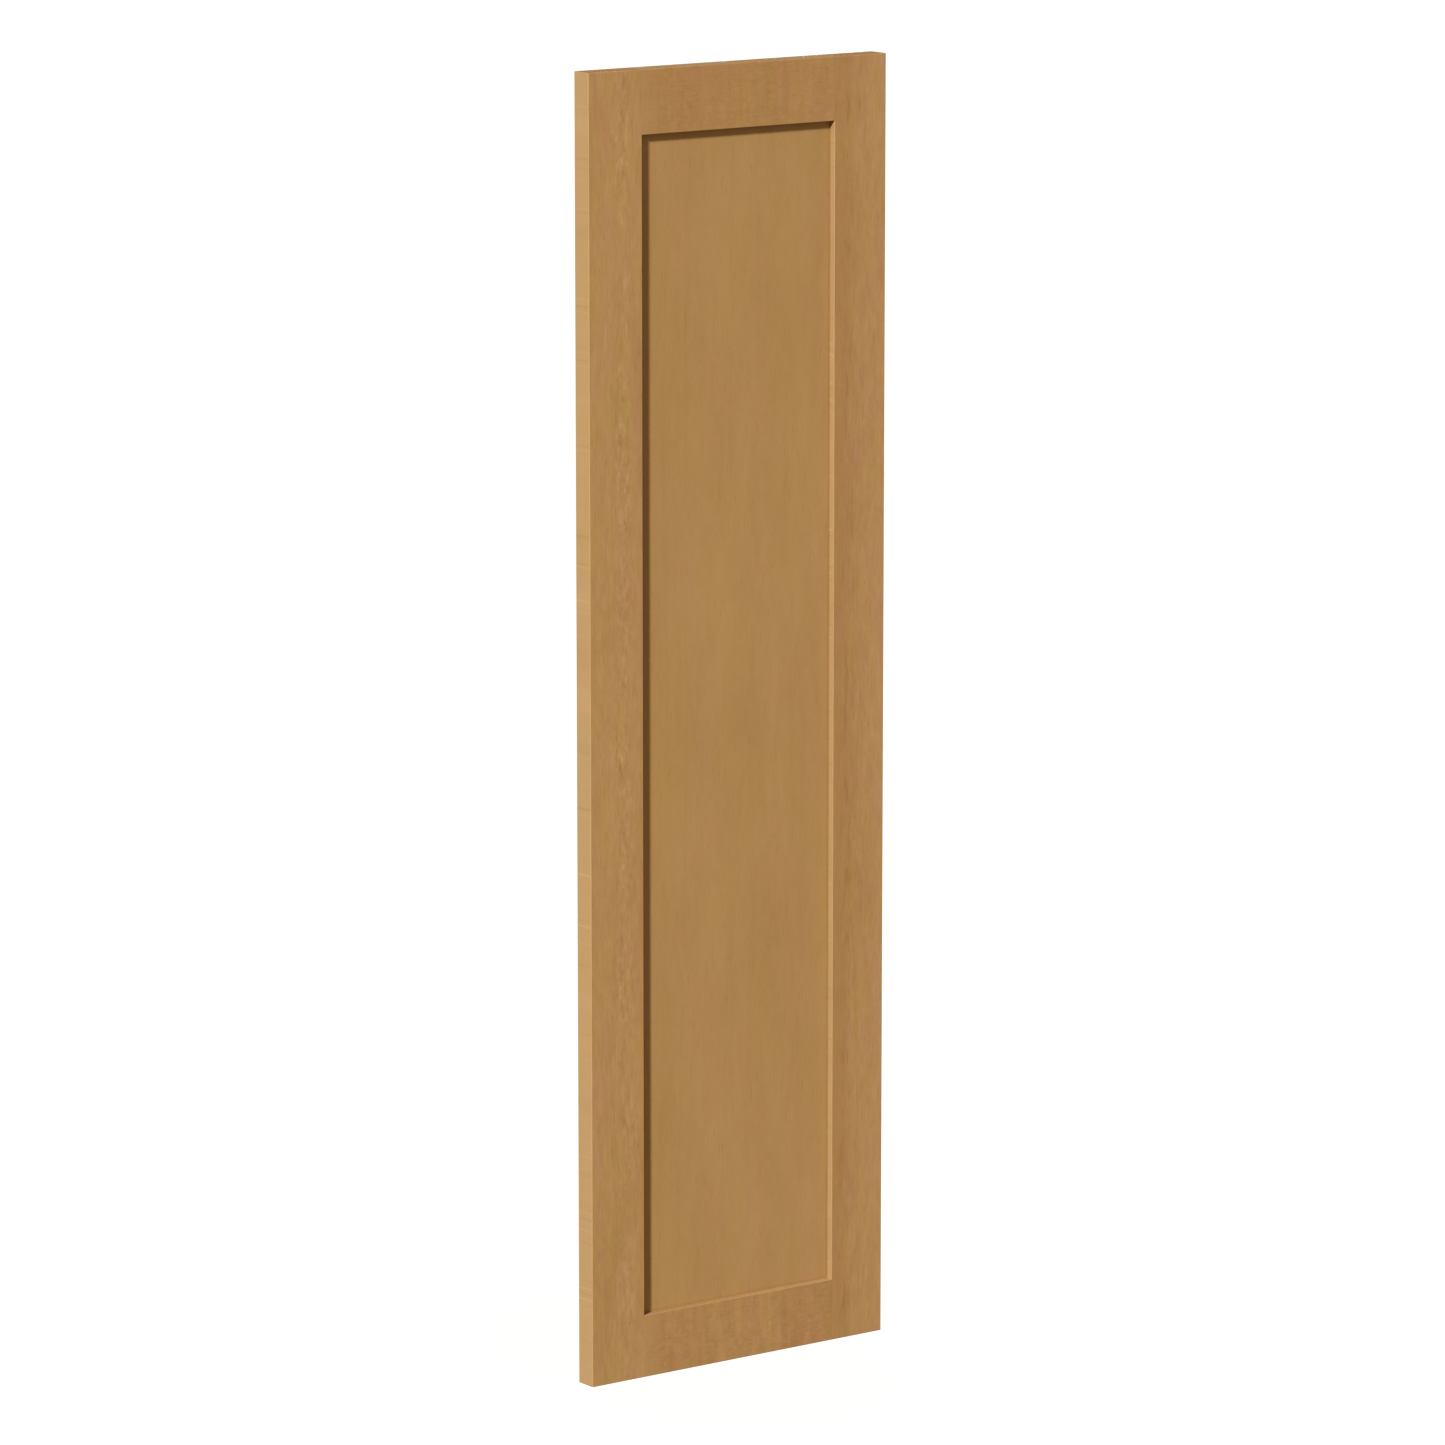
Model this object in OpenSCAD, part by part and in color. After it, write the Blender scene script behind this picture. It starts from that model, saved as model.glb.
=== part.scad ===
// Recessed flat-panel (Shaker) end panel for the side of a cabinet.
// A five-piece frame-and-panel board: two full-height stiles, two rails tongued between them, and
// a veneered centre panel that floats in a groove all round, centred by rubber spacers. Brads
// driven from the back pin the corner joints.
// X runs across the width, Y through the thickness with the front face towards -Y, and Z up.
// The origin is the middle of the bottom edge, halfway through the thickness. Sizes in mm.

/* [Overall] */
// Width over both stiles
panel_w = 295.3; // [230:0.1:610]
// Height of the stiles
panel_h = 1066.8; // [500:0.1:2440]
// Thickness of the stiles and rails
board_t = 19.05; // [18.5:0.05:22]

/* [Frame] */
// Face width of each stile
stile_w = 52; // [40:0.1:76]
// Face width of the top and bottom rails
rail_w = 52; // [40:0.1:76]
// Depth of the front recess, from the face of the frame to the groove that holds the panel
recess_d = 6.35; // [5:0.05:7]
// Width of the groove in the inner edges of the frame
groove_w = 6.35; // [6:0.05:7]
// Depth of that groove
groove_d = 11.1; // [10.5:0.1:12]
// Space left for glue beyond the end of each rail's tongue
glue_gap = 0.3; // [0.1:0.05:1]

/* [Edges] */
// Radius of the round-over along the front outer edges
front_ease = 0.7; // [0.4:0.05:3]
// Radius of the round-over along the back outer edges
back_ease = 0.5; // [0.2:0.05:1.5]
// Radius at the four corners of the board's outline
corner_ease = 0.7; // [0.2:0.05:2]
// Width of the sanded arris round the inside of the frame
inner_ease = 0.4; // [0.1:0.05:1]
// Width of the fine arris on each rail's shoulders, which shows the joint as a hairline
joint_ease = 0.12; // [0.05:0.01:0.4]

/* [Centre panel] */
// How far the panel's edges go into the groove
panel_seat = 6.35; // [6:0.05:6.5]
// Total slack between the panel's thickness and the groove
panel_slack = 0.15; // [0.05:0.01:0.4]
// Thickness of the veneer on each face of the panel
veneer_t = 0.6; // [0.4:0.05:1]

/* [Spacers and brads] */
// Diameter of a rubber spacer ball before the panel squeezes it
spacer_d = 5.9; // [5.7:0.05:5.95]
// Diameter of a brad's shank
brad_d = 1.2; // [0.8:0.05:1.6]
// Diameter of a brad's head
brad_head_d = 1.9; // [1.7:0.05:2.4]
// Thickness of a brad's head
brad_head_t = 0.6; // [0.4:0.05:1]
// Length of a brad, head included
brad_len = 15; // [12:0.5:16]
// How far a brad's head is driven below the back face
brad_set = 0.5; // [0.2:0.05:1]

/* [Hidden] */

$fn = 48;

half_w = panel_w / 2;
half_t = board_t / 2;
mid_z = panel_h / 2;
opening_w = panel_w - 2 * stile_w;
opening_h = panel_h - 2 * rail_w;
groove_y = recess_d + groove_w / 2 - half_t;        // middle of the groove through the thickness
tongue_len = groove_d - glue_gap;
tongue_h = rail_w - groove_d;                       // the rail's own groove takes the rest
sheet_w = opening_w + 2 * panel_seat;
sheet_h = opening_h + 2 * panel_seat;
core_t = groove_w - panel_slack - 2 * veneer_t;
spacer_t = groove_d - panel_seat;                   // room between the panel and the groove's floor

past = 4;                                           // how far cutting shapes run past the wood
arc_steps = 6;                                      // flats in each quarter-round of an eased edge
low = -0.38;                                        // places along an opening's side, from its middle
middle = 0;
high = 0.38;
quarter_way = 0.25;
brad_shares = [0.28, 0.74];                         // places of two brads across a rail's tongue

wood = [0.68, 0.51, 0.32];
veneer = [0.67, 0.51, 0.31];
fibreboard = [0.55, 0.42, 0.30];
rubber = [0.16, 0.15, 0.14];
steel = [0.66, 0.66, 0.68];

// Points of a quarter-round of radius r about centre, turning from angle from to from + 90
function quarter_round(centre, r, from) =
    [for (i = [0 : arc_steps])
        let (a = from + 90 * i / arc_steps) centre + r * [cos(a), sin(a)]];

// Rectangle about the origin, with radius r_low at its corners of low y and r_high at the others
module eased_rectangle(w, h, r_low, r_high)
    polygon(concat(
        quarter_round([w / 2 - r_high, h / 2 - r_high], r_high, 0),
        quarter_round([r_high - w / 2, h / 2 - r_high], r_high, 90),
        quarter_round([r_low - w / 2, r_low - h / 2], r_low, 180),
        quarter_round([w / 2 - r_low, r_low - h / 2], r_low, 270)));

// The whole board as one block with its outer edges eased, which the frame's pieces are cut from
module eased_board()
    intersection() {
        linear_extrude(panel_h)
            eased_rectangle(panel_w, board_t, front_ease, back_ease);
        translate([0, 0, mid_z])
            rotate([0, 90, 0])
            linear_extrude(panel_w + 2 * past, center = true)
            eased_rectangle(panel_h, board_t, front_ease, back_ease);
        translate([0, 0, mid_z])
            rotate([90, 0, 0])
            linear_extrude(board_t + 2 * past, center = true)
            eased_rectangle(panel_w, panel_h, corner_ease, corner_ease);
    }

// Section across the opening of the shape that cuts the arris: the opening's width at its floor,
// widening at 45 degrees towards the face
module arris_section(width)
    polygon([[-width / 2, inner_ease],
             [width / 2, inner_ease],
             [width / 2 + inner_ease + past, -past],
             [-width / 2 - inner_ease - past, -past]]);

// Shape that cuts the arris round the opening in the face at y = -half_t, mitred at its corners
module arris_cutter()
    translate([0, -half_t, mid_z])
        intersection() {
            linear_extrude(panel_h, center = true)
                arris_section(opening_w);
            rotate([0, 90, 0])
                linear_extrude(panel_w, center = true)
                arris_section(opening_h);
        }

// The same for both faces
module arrises() {
    arris_cutter();
    rotate([0, 0, 180])
        arris_cutter();
}

// Places of the brads, on both sides and at both ends, with the origin where a head's face lies
module at_brads()
    for (side = [-1, 1], end = [0, 1], share = brad_shares)
        translate([side * (opening_w / 2 + tongue_len / 2),
                   half_t - brad_set,
                   end * panel_h + (1 - 2 * end) * share * tongue_h])
            children();

// One brad along -Y, head first at the origin
module brad()
    rotate([90, 0, 0]) {
        cylinder(h = brad_len, d = brad_d);
        cylinder(h = brad_head_t, d = brad_head_d);
    }

// The hole that a brad makes, open to the back face
module brad_hole() {
    brad();
    rotate([-90, 0, 0])
        cylinder(h = brad_set + past, d = brad_head_d);
}

// Stile on the left, at -X; the right one mirrors it
module stile()
    color(wood)
    difference() {
        intersection() {
            eased_board();
            translate([-half_w - past, -half_t - past, -past])
                cube([stile_w + past, board_t + 2 * past, panel_h + 2 * past]);
        }
        translate([-opening_w / 2 - groove_d, groove_y - groove_w / 2, -past])
            cube([groove_d + past, groove_w, panel_h + 2 * past]);
        arrises();
        at_brads()
            brad_hole();
    }

// Plan of a rail between its shoulders, with a fine arris at all four corners
module rail_plan()
    polygon([[-opening_w / 2, joint_ease - half_t],
             [joint_ease - opening_w / 2, -half_t],
             [opening_w / 2 - joint_ease, -half_t],
             [opening_w / 2, joint_ease - half_t],
             [opening_w / 2, half_t - joint_ease],
             [opening_w / 2 - joint_ease, half_t],
             [joint_ease - opening_w / 2, half_t],
             [-opening_w / 2, half_t - joint_ease]]);

// Rail at the bottom, with a stub tongue at each end; the top one mirrors it
module rail()
    color(wood)
    difference() {
        union() {
            intersection() {
                eased_board();
                linear_extrude(rail_w)
                    rail_plan();
            }
            for (side = [-1, 1])
                translate([side * (opening_w / 2 + (tongue_len - past) / 2), groove_y, tongue_h / 2])
                    cube([tongue_len + past, groove_w, tongue_h], center = true);
        }
        translate([-half_w, groove_y - groove_w / 2, tongue_h])
            cube([panel_w, groove_w, groove_d + past]);
        arrises();
        at_brads()
            brad_hole();
    }

module left_stile()
    stile();

module right_stile()
    mirror([1, 0, 0])
        stile();

module bottom_rail()
    rail();

module top_rail()
    translate([0, 0, mid_z])
        mirror([0, 0, 1])
        translate([0, 0, -mid_z])
        rail();

// A layer of the centre panel, with its front face at the given y
module panel_layer(front_y, thickness)
    translate([-sheet_w / 2, front_y, mid_z - sheet_h / 2])
        cube([sheet_w, thickness, sheet_h]);

module panel_core()
    color(fibreboard)
    panel_layer(groove_y - core_t / 2, core_t);

module panel_front_veneer()
    color(veneer)
    panel_layer(groove_y - core_t / 2 - veneer_t, veneer_t);

module panel_back_veneer()
    color(veneer)
    panel_layer(groove_y + core_t / 2, veneer_t);

// A rubber ball squeezed flat on two sides, at right angles to Z, about the origin
module spacer()
    color(rubber)
    intersection() {
        sphere(d = spacer_d);
        cube([2 * spacer_d, 2 * spacer_d, spacer_t], center = true);
    }

// Spacer in the groove of the stile on the given side, at a share of the opening's height
module stile_spacer(side, share)
    translate([side * (sheet_w + spacer_t) / 2, groove_y, mid_z + share * opening_h])
        rotate([0, 90, 0])
        spacer();

// Spacer in the groove of the rail at the given end, at a share of the opening's width
module rail_spacer(end, share)
    translate([share * opening_w, groove_y, mid_z + end * (sheet_h + spacer_t) / 2])
        spacer();

module corner_brads()
    color(steel)
    at_brads()
        brad();

left_stile();
right_stile();
top_rail();
bottom_rail();
panel_core();
panel_front_veneer();
panel_back_veneer();
stile_spacer(-1, low);  // spacer_left_low
stile_spacer(-1, middle);  // spacer_left_mid
stile_spacer(-1, high);  // spacer_left_high
stile_spacer(1, low);  // spacer_right_low
stile_spacer(1, middle);  // spacer_right_mid
stile_spacer(1, high);  // spacer_right_high
rail_spacer(-1, -quarter_way);  // spacer_bottom_left
rail_spacer(-1, quarter_way);  // spacer_bottom_right
rail_spacer(1, -quarter_way);  // spacer_top_left
rail_spacer(1, quarter_way);  // spacer_top_right
corner_brads();
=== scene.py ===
"""Looks for a recessed flat-panel (Shaker) cabinet end panel in honey-stained wood."""
import math

import bpy
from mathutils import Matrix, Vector


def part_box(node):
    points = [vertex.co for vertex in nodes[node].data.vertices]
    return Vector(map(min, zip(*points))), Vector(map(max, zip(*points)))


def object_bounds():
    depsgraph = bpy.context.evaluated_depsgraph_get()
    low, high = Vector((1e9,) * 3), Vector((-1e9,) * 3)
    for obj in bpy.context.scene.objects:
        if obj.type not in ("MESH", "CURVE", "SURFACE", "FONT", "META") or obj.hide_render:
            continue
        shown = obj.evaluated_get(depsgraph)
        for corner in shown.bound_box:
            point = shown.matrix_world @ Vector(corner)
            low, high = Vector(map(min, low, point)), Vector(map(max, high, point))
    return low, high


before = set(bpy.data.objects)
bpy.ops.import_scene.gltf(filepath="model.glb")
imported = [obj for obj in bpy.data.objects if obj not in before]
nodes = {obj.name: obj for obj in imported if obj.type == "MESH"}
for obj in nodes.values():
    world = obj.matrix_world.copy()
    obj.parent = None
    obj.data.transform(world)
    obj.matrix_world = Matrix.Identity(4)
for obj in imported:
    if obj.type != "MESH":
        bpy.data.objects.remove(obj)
cad_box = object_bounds()

MM = 0.001

# Half-sizes about the row frame's Z axis and the board's middle height
MID_Z = (cad_box[0].z + cad_box[1].z) / 2
SIDE_X = cad_box[1].x
OPENING_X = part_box("right_stile")[0].x
OPENING_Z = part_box("top_rail")[0].z - MID_Z
PANEL_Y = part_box("panel_back_veneer")[1].y


def middle_of(name):
    """Centre of a CAD node's box, in metres."""
    low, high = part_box(name)
    return (low + high) / 2


# ---------------------------------------------------------------- node graphs

class Graph:
    """Builds one material's nodes. Any value may be a number, a vector or another node's output."""

    def __init__(self, name):
        self.material = bpy.data.materials.new(name)
        self.material.use_nodes = True
        self.tree = self.material.node_tree
        self.tree.nodes.clear()
        output = self.tree.nodes.new("ShaderNodeOutputMaterial")
        self.shader = self.tree.nodes.new("ShaderNodeBsdfPrincipled")
        self.tree.links.new(self.shader.outputs["BSDF"], output.inputs["Surface"])

    def feed(self, socket, value):
        if isinstance(value, bpy.types.NodeSocket):
            self.tree.links.new(value, socket)
        else:
            socket.default_value = value

    def node(self, kind, inputs=None, **settings):
        made = self.tree.nodes.new(kind)
        for key, value in settings.items():
            setattr(made, key, value)
        for key, value in (inputs or {}).items():
            self.feed(made.inputs[key], value)
        return made

    def math(self, operation, *values):
        made = self.node("ShaderNodeMath", dict(enumerate(values)), operation=operation)
        return made.outputs[0]

    def vector(self, operation, *values):
        made = self.node("ShaderNodeVectorMath", dict(enumerate(values)), operation=operation)
        return made.outputs["Value" if operation == "LENGTH" else "Vector"]

    def times(self, first, *others):
        result = first
        for value in others:
            result = self.math("MULTIPLY", result, value)
        return result

    def total(self, first, *others):
        result = first
        for value in others:
            result = self.math("ADD", result, value)
        return result

    def size(self, value):
        return self.math("ABSOLUTE", value)

    def away(self, value, place):
        """Distance of value from place."""
        return self.size(self.math("SUBTRACT", value, place))

    def split(self, vector):
        return self.node("ShaderNodeSeparateXYZ", {0: vector}).outputs

    def join(self, x, y, z):
        return self.node("ShaderNodeCombineXYZ", {0: x, 1: y, 2: z}).outputs[0]

    def spot(self):
        """Place in the row frame, in metres."""
        return self.node("ShaderNodeTexCoord").outputs["Object"]

    def noise(self, place, cells, detail=2.0, rough=0.5):
        """Noise with that many cells per metre along each axis. Its value is about 0.5."""
        made = self.node("ShaderNodeTexNoise",
                         {"Vector": self.vector("MULTIPLY", place, cells), "Scale": 1.0,
                          "Detail": detail, "Roughness": rough})
        return made.outputs["Fac"]

    def line_noise(self, where, detail=2.0, rough=0.5):
        """Noise along a line, where counting its cells."""
        made = self.node("ShaderNodeTexNoise",
                         {"W": where, "Scale": 1.0, "Detail": detail, "Roughness": rough},
                         noise_dimensions="1D")
        return made.outputs["Fac"]

    def shift(self, place, cells, amount):
        """Place moved by noise, by about amount metres along each axis."""
        made = self.node("ShaderNodeTexNoise",
                         {"Vector": self.vector("MULTIPLY", place, cells), "Scale": 1.0,
                          "Detail": 2.0})
        centred = self.vector("SUBTRACT", made.outputs["Color"], (0.5, 0.5, 0.5))
        return self.vector("ADD", place, self.vector("MULTIPLY", centred, amount))

    def ramp(self, value, low, high, out_low=0.0, out_high=1.0, kind="LINEAR"):
        """Straight slope of value from low to high, as out_low to out_high."""
        made = self.node("ShaderNodeMapRange",
                         {"Value": value, "From Min": low, "From Max": high,
                          "To Min": out_low, "To Max": out_high}, interpolation_type=kind)
        return made.outputs["Result"]

    def band(self, value, low, high, out_low=0.0, out_high=1.0):
        """Smooth step of value from low to high, as out_low to out_high."""
        return self.ramp(value, low, high, out_low, out_high, "SMOOTHSTEP")

    def ridge(self, value, centre, half_width):
        """1 where value is at centre, falling smoothly to 0 half_width away."""
        return self.band(self.away(value, centre), 0.0, half_width, 1.0, 0.0)

    def about(self, value, amount):
        """Noise value turned to -amount .. amount about zero."""
        return self.times(self.math("SUBTRACT", value, 0.5), 2.0 * amount)

    def mix(self, share, first, second, blend="MIX"):
        made = self.node("ShaderNodeMix", data_type="RGBA", blend_type=blend)
        self.feed(made.inputs[0], share)
        self.feed(made.inputs[6], first)
        self.feed(made.inputs[7], second)
        return made.outputs[2]

    def cast(self, share, ground, by):
        """Ground, and by share of it, ground times the colour by."""
        return self.mix(share, ground, by, "MULTIPLY")

    def bump(self, height, metres):
        """Normal of a surface that rises by height times metres."""
        made = self.node("ShaderNodeBump", {"Strength": 1.0, "Distance": metres, "Height": height})
        return made.outputs["Normal"]

    def surface(self, **values):
        for key, value in values.items():
            name = {"specular": "Specular IOR Level"}.get(key, key.replace("_", " ").title())
            self.feed(self.shader.inputs[name], value)


def colour(red, green, blue):
    return (red, green, blue, 1.0)


# ---------------------------------------------------------------- stained wood

# Ground colours of the stained boards
HONEY = colour(0.405, 0.219, 0.076)
RIGHT_TINT = colour(0.393, 0.209, 0.073)
RAIL_TINT = colour(0.384, 0.197, 0.068)
PANEL_TINT = colour(0.392, 0.215, 0.072)
# Colours that the ground turns towards in places
# Painted light: a duller, less red tone for side faces and rail edges, standing in for how brightly
# lit sides look
SIDE_LIGHT_TONE = colour(0.339, 0.203, 0.083)
# Worn edges, and the painted highlight on the rails' ledge along the opening
HONEY_WEAR_AND_HIGHLIGHT = colour(0.450, 0.262, 0.100)
HEART = colour(0.335, 0.155, 0.046)
# END_DARK is the dark of the end grain, and also the colour of painted shade on the walls and ends
END_DARK = colour(0.200, 0.095, 0.032)
# Colours that the ground is multiplied by in places
LIGHTER = colour(1.235, 1.300, 1.630)
DARKER = colour(0.741, 0.690, 0.500)
ROSE_CAST = colour(1.010, 0.938, 1.090)
GOLD_CAST = colour(1.004, 1.040, 0.900)

# Noise cells per metre, twice across the fibres and then along them
FIBRE_CELLS = (1300.0, 1300.0, 30.0)
FINE_CELLS = (430.0, 430.0, 85.0)
MOTTLE_CELLS = (150.0, 150.0, 50.0)
STRAND_CELLS = (120.0, 120.0, 3.0)
FLECK_CELLS = (820.0, 820.0, 75.0)
FLAME_CELLS = (230.0, 230.0, 95.0)
SPOT_CELLS = (240.0, 240.0, 40.0)
PORE_CELLS = (900.0, 900.0, 300.0)
RUB_CELLS = (70.0, 70.0, 40.0)
# Noise cells per metre along X, Y and Z
CLOUD_CELLS = (20.0, 20.0, 6.0)
CURL_CELLS = (130.0, 40.0, 17.0)
WARM_STRETCH = 0.24           # a warm patch's cells along Z against those across
# Marks per metre that the cutter left across the edges
CUTS = 190.0
BROAD_CUTS = 24.0

# How far each layer of grain and stain moves the tone where its strength is 1
RING_TONE = 0.050
LATE_WOOD_TONE = 0.030
FIBRE_TONE = 0.075
FINE_TONE = 0.125
MOTTLE_TONE = 0.125
STRAND_TONE = 0.055
CLOUD_TONE = 0.130
# Largest share of the ground that each painted colour takes
FLECK_SHARE = 0.22
# Share of the painted-light side tone
SIDE_LIGHT_TONE_SHARE = 0.85
# Shares of painted shade on the recess walls and along their foot
WALL_SHADE_SHARE = 0.09
WALL_FOOT_SHADE_SHARE = 0.80
# Share of painted shade on the panel beside the recess walls
PANEL_FOOT_SHADE_SHARE = 0.32
# Share of painted shade on the board's top and bottom faces
OUTER_END_SHADE_SHARE = 0.14
WORN_SHARE = 0.20

SATIN = 0.42                  # roughness of the lacquer
LACQUER_SPECULAR = 0.25
GRAIN_DEPTH = 0.05 * MM


class Wood(Graph):
    """Stained wood whose fibres run along one axis of the row frame."""

    def __init__(self, name, fibres, seed):
        super().__init__(name)
        spot = self.spot()
        x, y, z = self.split(spot)
        self.x, self.y, self.z = x, y, z
        normal = self.split(self.node("ShaderNodeNewGeometry").outputs["Normal"])
        facing_x, facing_y, facing_z = (self.size(part) for part in normal)
        most = self.math("MAXIMUM", self.math("MAXIMUM", facing_x, facing_y), facing_z)
        self.obliqueness = self.math("SUBTRACT", 1.0, most)
        upright = fibres == "Z"
        across, self.along = (x, z) if upright else (z, x)
        self.facing_z = facing_z
        self.end_facing = self.band(facing_z if upright else facing_x, 0.75, 0.95)
        self.edge_facing = self.band(facing_x if upright else facing_z, 0.75, 0.95)
        self.side_facing = self.band(facing_x, 0.55, 0.90)
        self.seed = Vector((seed, 2 * seed, 3 * seed))
        self.upright = self.vector("ADD", spot, self.seed)
        self.grain = self.vector("ADD", self.join(across, y, self.along), self.seed)
        drifted = self.shift(self.grain, (9.0, 9.0, 1.6), (0.016, 0.016, 0.0))
        self.flowing = self.shift(drifted, (60.0, 60.0, 16.0), (0.004, 0.004, 0.0))

    def fibres(self, cells, length=1.0, detail=2.0, rough=0.5):
        """Noise that flows with the fibres, its cells longer by length."""
        return self.noise(self.flowing, (cells[0], cells[1], cells[2] / length), detail, rough)

    def rings(self, pith, slope, per_metre):
        """Growth rings about a line that slopes slowly away from the fibres' direction."""
        a, b, c = self.split(self.flowing)
        off = self.math("SUBTRACT", self.math("SUBTRACT", a, pith[0] + self.seed.x),
                        self.times(c, slope))
        deep = self.math("SUBTRACT", b, pith[1] + self.seed.y)
        radius = self.vector("LENGTH", self.join(off, deep, 0.0))
        return self.line_noise(self.times(radius, per_metre), detail=1.5)

    def recess_wall_shade(self, ground):
        """Painted shade on the recess's upright walls: a little deeper in tone, and darker still
        along their foot where they meet the panel.
        """
        inside = self.band(self.size(self.x), SIDE_X - 12 * MM, SIDE_X - 6 * MM, 1.0, 0.0)
        wall = self.times(inside, self.side_facing)
        # Painted shade: the recess walls turn a little towards the dark tone
        ground = self.mix(self.times(wall, WALL_SHADE_SHARE), ground, END_DARK)
        foot = self.band(self.size(self.y), PANEL_Y + 0.4 * MM, PANEL_Y + 1.8 * MM,
                         WALL_FOOT_SHADE_SHARE, 0.0)
        # Painted shade along the foot of the walls, in the corner with the panel
        return self.cast(self.times(wall, foot), ground, DARKER)

    def cutter_marks(self, ground):
        """Pale and dark marks across the board's edges."""
        cuts = self.line_noise(self.times(self.total(self.along, self.seed.x), CUTS), 3.0, 0.6)
        broad = self.line_noise(self.times(self.total(self.along, self.seed.y), BROAD_CUTS))
        dark = self.total(self.band(cuts, 0.36, 0.26, 0.0, 0.30),
                          self.band(broad, 0.45, 0.25, 0.0, 0.12))
        pale = self.total(self.band(cuts, 0.64, 0.76, 0.0, 0.40),
                          self.band(broad, 0.55, 0.75, 0.0, 0.14))
        ground = self.cast(self.times(self.edge_facing, dark), ground, DARKER)
        return self.cast(self.times(self.edge_facing, pale), ground, LIGHTER)

    def end_shade_and_pores(self, ground):
        """Painted shade on the top and bottom faces of the board, and the pores of the end grain.
        """
        # Painted shade on the faces at the board's top and bottom
        outer = self.band(self.away(self.z, MID_Z), MID_Z - 3 * MM, MID_Z - MM)
        level = self.band(self.facing_z, 0.5, 0.9)
        ground = self.mix(self.times(outer, level, OUTER_END_SHADE_SHARE), ground, END_DARK)
        pores = self.band(self.fibres(PORE_CELLS, detail=1.0), 0.50, 0.68, 0.40, 0.80)
        return self.mix(self.times(self.end_facing, pores), ground, END_DARK)


def stained_wood(name, *, seed, pith, slope, rings, contrast, warm, marks, fibres="Z", tint=HONEY,
                 length=1.0, lines=1.0, clouds=1.0, warm_patch=0.016, figure=0.0):
    """Satin stained hardwood. pith is where the tree's centre lies across the board and through its
    thickness, slope how fast it leans away, and rings the number of growth rings per metre.
    contrast is the strength of the fine grain, length that of its fibres, lines the strength of its
    long lines, clouds that of the blotches in the stain, warm that of its rose and gold patches,
    warm_patch their width in metres, and figure the strength of the upright bands. marks paints
    what belongs to one board only."""
    g = Wood(name, fibres, seed)
    ring = g.rings(pith, slope, rings)
    late = g.band(ring, 0.56, 0.70)
    fibre = g.fibres(FIBRE_CELLS, length, 2.0, 0.6)
    fine = g.fibres(FINE_CELLS, length, 3.0, 0.6)
    mottle = g.fibres(MOTTLE_CELLS, length, 3.0, 0.6)
    strand = g.fibres(STRAND_CELLS)
    cloud = g.noise(g.upright, CLOUD_CELLS)
    curl = g.noise(g.upright, CURL_CELLS, 4.0, 0.7)
    flecks = g.band(g.fibres(FLECK_CELLS, detail=1.0), 0.66, 0.75)

    # Tone: 0 is the whole way to LIGHTER, and 1 to DARKER
    tone = g.total(0.5,
                   g.about(ring, RING_TONE * lines),
                   g.times(late, LATE_WOOD_TONE * lines),
                   g.about(fibre, FIBRE_TONE * contrast),
                   g.about(fine, FINE_TONE * contrast),
                   g.about(mottle, MOTTLE_TONE * contrast),
                   g.about(strand, STRAND_TONE * lines),
                   g.about(cloud, CLOUD_TONE * clouds),
                   g.about(curl, figure))
    ground = g.cast(g.ramp(tone, 0.5, 0.0), tint, LIGHTER)
    ground = g.cast(g.ramp(tone, 0.5, 1.0), ground, DARKER)
    warm_cells = 1.0 / warm_patch
    warmth = g.noise(g.upright, (warm_cells, warm_cells, WARM_STRETCH * warm_cells), 4.0, 0.65)
    ground = g.cast(g.ramp(warmth, 0.50, 0.72, 0.0, warm), ground, ROSE_CAST)
    ground = g.cast(g.ramp(warmth, 0.50, 0.28, 0.0, warm), ground, GOLD_CAST)
    ground = marks(g, g.cast(g.times(flecks, FLECK_SHARE), ground, DARKER))
    # Side faces turn towards a duller, less red tone: painted light for how brightly lit sides look
    ground = g.mix(g.times(g.side_facing, SIDE_LIGHT_TONE_SHARE), ground, SIDE_LIGHT_TONE)
    # Painted shade on the recess walls and on the top and bottom faces, over the wood's own cutter
    # marks and end-grain pores
    ground = g.end_shade_and_pores(g.cutter_marks(g.recess_wall_shade(ground)))
    rub = g.band(g.noise(g.grain, RUB_CELLS), 0.30, 0.70, 0.20, 0.90)
    worn = g.times(g.band(g.obliqueness, 0.02, 0.16), rub)
    ground = g.mix(g.times(worn, WORN_SHARE), ground, HONEY_WEAR_AND_HIGHLIGHT)

    roughness = g.total(SATIN,
                        g.about(cloud, 0.08),
                        g.about(fine, 0.10),
                        g.times(flecks, 0.12),
                        g.times(worn, 0.10),
                        g.times(g.end_facing, 0.22))
    height = g.total(g.times(fibre, 0.5),
                     g.times(fine, 0.5),
                     g.times(flecks, -1.0),
                     g.times(late, 0.3))
    g.surface(base_color=ground, roughness=roughness, specular=LACQUER_SPECULAR,
              normal=g.bump(height, GRAIN_DEPTH))
    return g.material


def flecked_line(place, half_width):
    """A wandering upright band of short pale and dark flecks, strong in some places and faint in
    others, as where a board was cut near the pith."""
    def paint(g, ground):
        wander = g.about(g.noise(g.grain, (2.0, 2.0, 7.0), 3.0, 0.6), 0.015)
        strong = g.band(g.noise(g.grain, (2.0, 2.0, 11.0)), 0.36, 0.60, 0.25, 1.0)
        stripe = g.times(g.ridge(g.total(g.x, wander), place, half_width), strong)
        flame = g.fibres(FLAME_CELLS, detail=3.0, rough=0.65)
        ground = g.cast(g.times(stripe, g.band(flame, 0.50, 0.70, 0.0, 0.75)), ground, LIGHTER)
        return g.cast(g.times(stripe, g.band(flame, 0.48, 0.30, 0.0, 0.65)), ground, DARKER)
    return paint


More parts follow.
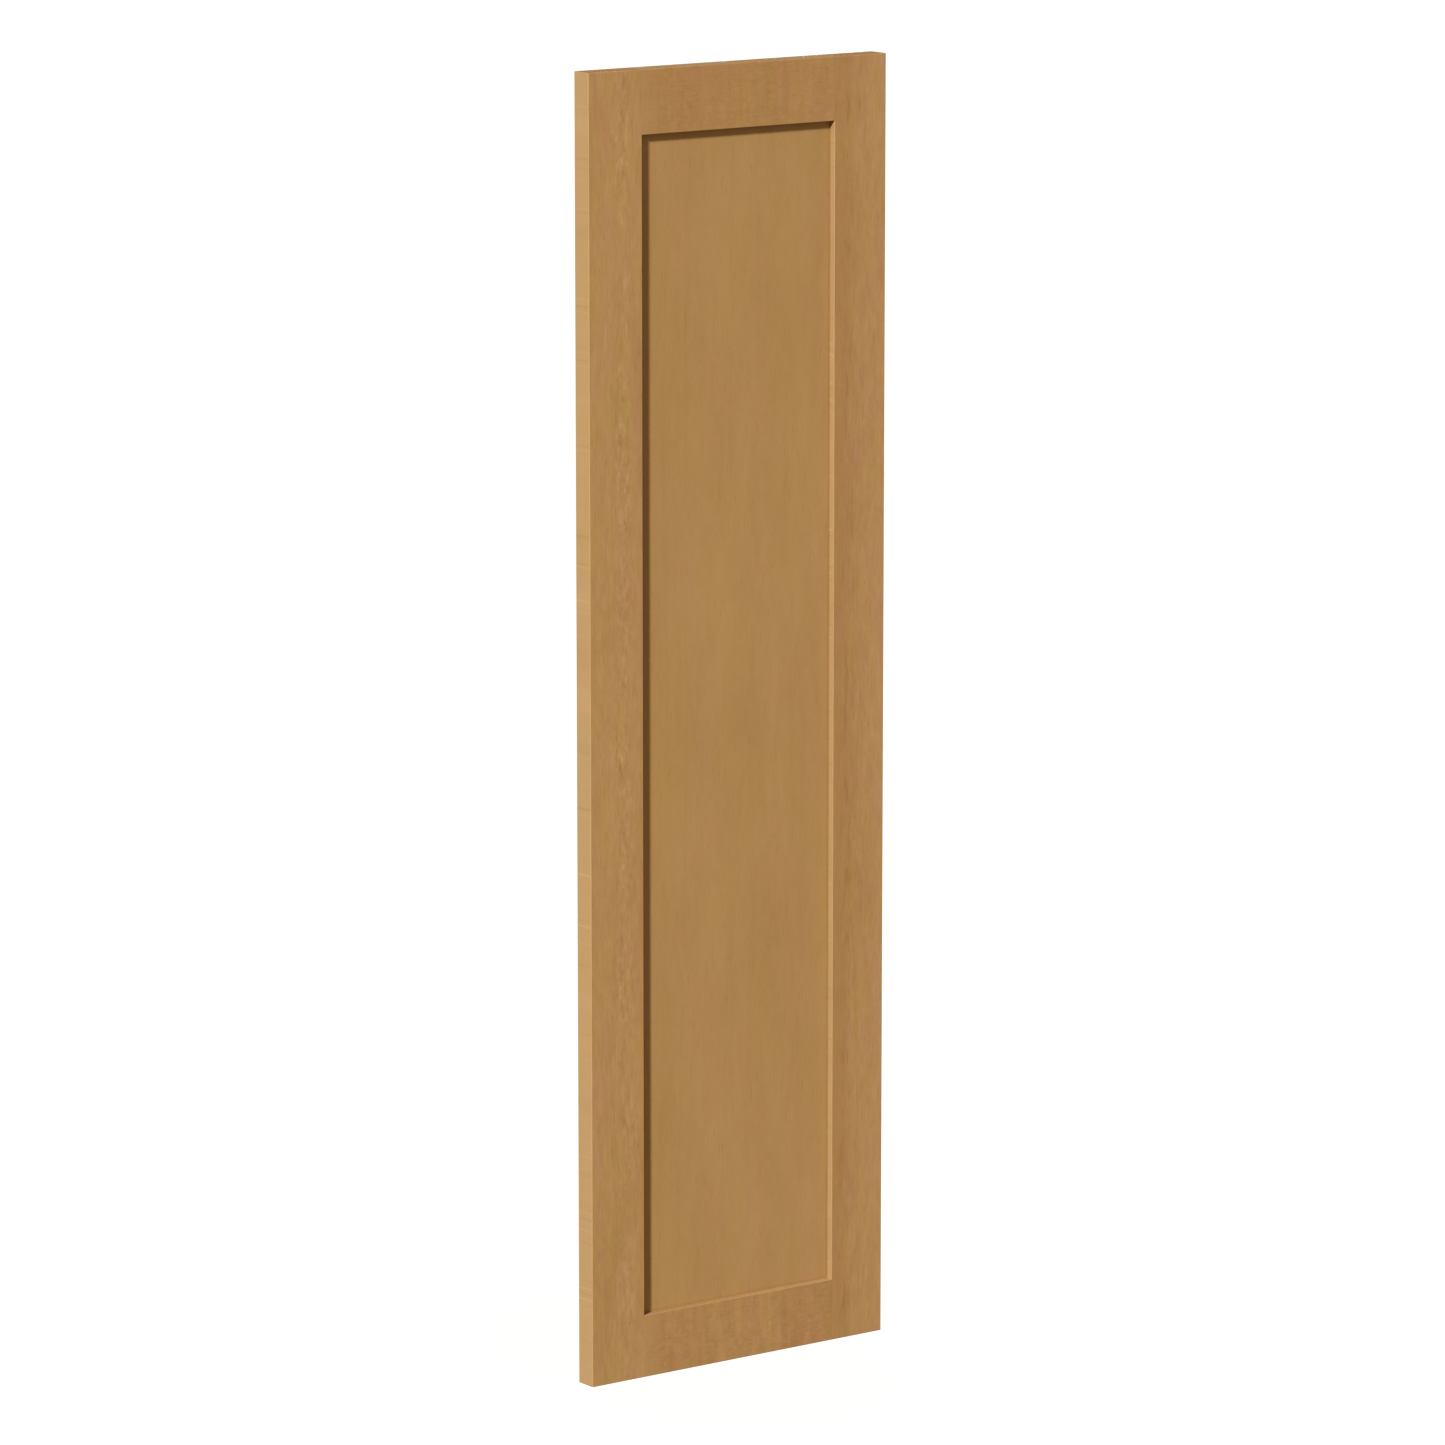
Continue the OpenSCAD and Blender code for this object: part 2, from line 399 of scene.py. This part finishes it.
def heart_side(inner, outer):
    """Darker redder wood next to the opening, clearing to pale wood at the outer edge, with a
    line of dark spots in the darker part."""
    width = outer - inner

    def paint(g, ground):
        wander = g.about(g.noise(g.grain, (4.0, 4.0, 5.0), 3.0, 0.6), 0.010)
        place = g.total(g.x, wander)
        dark = g.band(place, inner + 0.20 * width, inner + 0.42 * width, 0.33, 0.0)
        pale = g.band(place, inner + 0.32 * width, outer, 0.0, 0.25)
        ground = g.cast(pale, g.mix(dark, ground, HEART), LIGHTER)
        line = g.ridge(place, inner + 0.28 * width, 9 * MM)
        spots = g.band(g.fibres(SPOT_CELLS), 0.52, 0.70, 0.0, 0.50)
        return g.cast(g.times(line, spots), ground, DARKER)
    return paint


def pale_start(start, end):
    """Rail wood that begins as pale as the stile it meets at start and deepens towards end. Its
    edges take the painted-light side tone, and the ledge along the opening carries a painted
    highlight, stronger towards its far end."""
    def paint(g, ground):
        wander = g.about(g.noise(g.upright, (20.0, 20.0, 30.0)), 0.016)
        ground = g.mix(g.band(g.total(g.x, wander), start, end, 0.75, 0.0), ground, HONEY)
        # Rail edges turn part way to the painted-light side tone
        ground = g.mix(g.times(g.edge_facing, 0.4), ground, SIDE_LIGHT_TONE)
        # Painted highlight on the ledge along the opening, stronger towards its far end
        level = g.band(g.facing_z, 0.45, 0.65)
        near = g.band(g.away(g.z, MID_Z), OPENING_Z + 2 * MM, OPENING_Z + 6 * MM, 1.0, 0.0)
        highlight_rise = g.ramp(g.x, start, -start, 0.12, 0.75)
        return g.mix(g.times(level, near, highlight_rise), ground, HONEY_WEAR_AND_HIGHLIGHT)
    return paint


def painted_corner_shade(g, ground):
    """Painted shade on the panel along the foot of the recess's walls, in the corners between panel
    and frame.
    """
    from_side = g.math("SUBTRACT", OPENING_X, g.size(g.x))
    from_end = g.math("SUBTRACT", OPENING_Z, g.away(g.z, MID_Z))
    near = g.band(g.math("MINIMUM", from_side, from_end), 0.5 * MM, 3 * MM,
                  PANEL_FOOT_SHADE_SHARE, 0.0)
    return g.cast(near, ground, DARKER)


# ---------------------------------------------------------------- hidden materials

def fibreboard():
    """Medium-density fibreboard: brown felted fibres with pale and dark specks."""
    g = Graph("fibreboard_core")
    spot = g.spot()
    felt = g.noise(g.shift(spot, (300.0, 300.0, 300.0), (MM, MM, MM)),
                   (1500.0, 1500.0, 1500.0), 3.0, 0.65)
    cloud = g.noise(spot, (40.0, 40.0, 40.0))
    specks = g.band(g.noise(spot, (2600.0, 2600.0, 2600.0), 1.0), 0.66, 0.76)
    ground = g.mix(felt, colour(0.17, 0.105, 0.058), colour(0.44, 0.315, 0.20))
    ground = g.mix(g.band(cloud, 0.35, 0.70, 0.0, 0.35), ground, colour(0.26, 0.17, 0.10))
    ground = g.mix(g.times(specks, 0.7), ground, colour(0.10, 0.055, 0.03))
    g.surface(base_color=ground, roughness=g.band(felt, 0.2, 0.8, 0.78, 0.95), specular=0.25,
              normal=g.bump(felt, 0.06 * MM))
    return g.material


def spacer_rubber():
    """Dull black rubber with a light dusting from the groove's sawdust."""
    g = Graph("spacer_rubber")
    spot = g.spot()
    skin = g.noise(spot, (3500.0, 3500.0, 3500.0))
    dust = g.band(g.noise(spot, (900.0, 900.0, 900.0), 3.0, 0.6), 0.52, 0.72)
    ground = g.mix(skin, colour(0.016, 0.015, 0.014), colour(0.040, 0.037, 0.034))
    ground = g.mix(g.times(dust, 0.5), ground, colour(0.27, 0.19, 0.12))
    g.surface(base_color=ground, roughness=g.band(dust, 0.0, 1.0, 0.62, 0.90), specular=0.35,
              normal=g.bump(skin, 0.02 * MM))
    return g.material


def brad_steel():
    """Drawn steel wire with fine lines along it and brown oxide in patches."""
    g = Graph("brad_steel")
    spot = g.spot()
    drawn = g.noise(spot, (9000.0, 500.0, 9000.0))
    tarnish = g.band(g.noise(spot, (900.0, 350.0, 900.0), 3.0, 0.6), 0.50, 0.70)
    ground = g.mix(drawn, colour(0.26, 0.26, 0.27), colour(0.42, 0.42, 0.43))
    ground = g.mix(g.times(tarnish, 0.6), ground, colour(0.20, 0.12, 0.07))
    g.surface(base_color=ground, metallic=1.0, roughness=g.band(tarnish, 0.0, 1.0, 0.45, 0.72),
              normal=g.bump(drawn, 0.01 * MM))
    return g.material


# ---------------------------------------------------------------- dressing the nodes

def dress(name, material):
    slots = nodes[name].data.materials
    slots.clear()
    slots.append(material)


left = middle_of("left_stile")
right = middle_of("right_stile")
top = middle_of("top_rail")
bottom = middle_of("bottom_rail")
rail_start = pale_start(-OPENING_X, 24 * MM - OPENING_X)

dress("left_stile", stained_wood(
    "wood_left_stile", seed=0.0, pith=(left.x + 0.006, 0.034), slope=0.020, rings=330.0,
    contrast=1.7, lines=0.7, clouds=1.7, warm=1.1, marks=flecked_line(left.x + 0.008, 0.014)))
dress("right_stile", stained_wood(
    "wood_right_stile", seed=0.7, pith=(right.x + 0.05, 0.05), slope=-0.012, rings=300.0,
    tint=RIGHT_TINT, contrast=1.8, warm=1.1, marks=heart_side(OPENING_X, SIDE_X)))

RAIL_LOOK = {"fibres": "X", "rings": 300.0, "tint": RAIL_TINT, "length": 0.35, "lines": 0.2,
             "warm": 0.85, "warm_patch": 0.022, "marks": rail_start}
dress("top_rail", stained_wood(
    "wood_top_rail", seed=1.3, pith=(top.z - 0.03, 0.05), slope=0.03, contrast=1.4, clouds=1.2,
    figure=0.28, **RAIL_LOOK))
dress("bottom_rail", stained_wood(
    "wood_bottom_rail", seed=2.1, pith=(bottom.z + 0.02, 0.05), slope=-0.02, contrast=1.7,
    clouds=2.0, figure=0.36, **RAIL_LOOK))

# The veneers' marks are painted shade along their corners with the frame
VENEER_LOOK = {"rings": 160.0, "tint": PANEL_TINT, "contrast": 0.58, "length": 0.7,
               "lines": 0.30, "clouds": 1.3, "warm": 0.6, "warm_patch": 0.045, "figure": 0.09,
               "marks": painted_corner_shade}
dress("panel_front_veneer", stained_wood(
    "veneer_front", seed=3.2, pith=(0.01, 0.22), slope=0.015, **VENEER_LOOK))
dress("panel_back_veneer", stained_wood(
    "veneer_back", seed=4.4, pith=(-0.03, 0.20), slope=0.012, **VENEER_LOOK))

dress("panel_core", fibreboard())
dress("corner_brads", brad_steel())
rubber = spacer_rubber()
for name in nodes:
    if name.startswith("spacer_"):
        dress(name, rubber)

# ---------------------------------------------------------------- camera

AIM = Vector((-0.0097, 0.0, 0.5322))
DISTANCE = 5.755
AZIMUTH = math.radians(36.41)
ELEVATION = math.radians(10.507)
LENS = 176.98
SENSOR = 36.0

towards = Vector((math.sin(AZIMUTH) * math.cos(ELEVATION),
                  math.cos(AZIMUTH) * math.cos(ELEVATION),
                  -math.sin(ELEVATION)))
camera_data = bpy.data.cameras.new("camera")
camera_data.lens = LENS
camera_data.sensor_width = SENSOR
camera_data.clip_end = 200.0
camera = bpy.data.objects.new("camera", camera_data)
camera.location = AIM - DISTANCE * towards
camera.rotation_euler = (math.pi / 2 - ELEVATION, 0.0, -AZIMUTH)
bpy.context.scene.collection.objects.link(camera)
bpy.context.scene.camera = camera

# ---------------------------------------------------------------- stage and light

AMBIENT = (0.344, 0.283, 0.201)
BACKDROP = (1.0, 1.0, 1.0)
SUN_COLOUR = (1.0, 1.089, 1.210)
KEY_STRENGTH = 1.635
KEY_DIRECTION = (0.773, 0.416, -0.462)
FILL_STRENGTH = 0.78
FILL_DIRECTION = (-0.62, -0.77, -0.15)
FLOOR_STRENGTH = 0.95
DOWN = (0.0, 0.0, -1.0)
FLOOR_RADIUS = 60.0

world = bpy.data.worlds.new("studio")
world.use_nodes = True
tree = world.node_tree
background = tree.nodes["Background"]
path = tree.nodes.new("ShaderNodeLightPath")
seen = tree.nodes.new("ShaderNodeMix")
seen.data_type = "RGBA"
tree.links.new(path.outputs["Is Camera Ray"], seen.inputs[0])
seen.inputs[6].default_value = (*AMBIENT, 1.0)
seen.inputs[7].default_value = (*BACKDROP, 1.0)
tree.links.new(seen.outputs[2], background.inputs["Color"])
background.inputs["Strength"].default_value = 1.0
bpy.context.scene.world = world

bpy.ops.mesh.primitive_circle_add(vertices=96, radius=FLOOR_RADIUS, fill_type="NGON")
floor = bpy.context.object
floor.name = "floor"
floor_graph = Graph("pale_floor")
floor_graph.surface(base_color=colour(0.9, 0.9, 0.9), roughness=0.9)
floor.data.materials.append(floor_graph.material)
floor.visible_diffuse = False
floor.visible_glossy = False


def sun(name, strength, direction, angle, receivers, blockers=None, tone=(1.0, 1.0, 1.0)):
    """Distant lamp, angle degrees wide, that lights only receivers. Where blockers are given,
    nothing else shades it."""
    data = bpy.data.lights.new(name, "SUN")
    data.color = tone
    data.energy = strength * math.pi
    data.angle = math.radians(angle)
    lamp = bpy.data.objects.new(name, data)
    lamp.rotation_euler = Vector(direction).to_track_quat("-Z", "Y").to_euler()
    bpy.context.scene.collection.objects.link(lamp)
    for kind, members in (("receiver_collection", receivers), ("blocker_collection", blockers)):
        if members is not None:
            group = bpy.data.collections.new(name + "_" + kind)
            for member in members:
                group.objects.link(member)
            setattr(lamp.light_linking, kind, group)
    return lamp


board = list(nodes.values())
sun("key", KEY_STRENGTH, KEY_DIRECTION, angle=6.0, receivers=board, tone=SUN_COLOUR)
fill = sun("back_fill", FILL_STRENGTH, FILL_DIRECTION, angle=20.0, receivers=board, tone=SUN_COLOUR)
fill.visible_glossy = False   # keeps its glare off the top edge
sun("floor_light", FLOOR_STRENGTH, DOWN, angle=4.0, receivers=[floor], blockers=[floor])

view = bpy.context.scene.view_settings
view.view_transform = "Standard"
view.look = "None"
